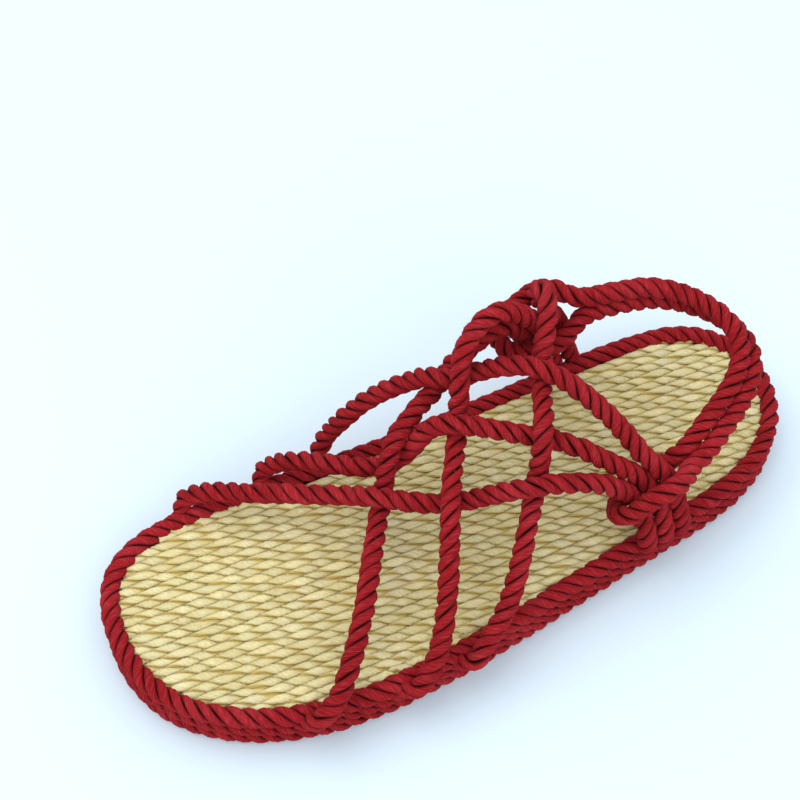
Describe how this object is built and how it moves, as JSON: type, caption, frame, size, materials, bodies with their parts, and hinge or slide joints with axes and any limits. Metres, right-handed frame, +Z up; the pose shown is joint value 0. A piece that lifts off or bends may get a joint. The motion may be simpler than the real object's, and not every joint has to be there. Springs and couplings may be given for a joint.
{
  "type": "rope sandal",
  "caption": "Open sandal of laid rope: a cord footbed edged with stacked rope, a laced rope net over the foot and a doubled rope loop behind the heel.",
  "frame": {"origin": "on the floor, under the middle of the sandal's box seen from above", "axes": "+Y towards the toe, +X towards the inner side of the foot, +Z up from the floor"},
  "size_m": [0.1118, 0.2702, 0.0873],
  "materials": {
    "red_rope": "matte",
    "straw_cord": "matte"
  },
  "bodies": {
    "root": {"outsole": "straw_cord", "footbed": "straw_cord", "rim_rope_bottom": "red_rope", "rim_rope_middle": "red_rope", "rim_rope_top": "red_rope", "strap_net": "red_rope", "heel_strap": "red_rope"}
  },
  "joints": []
}
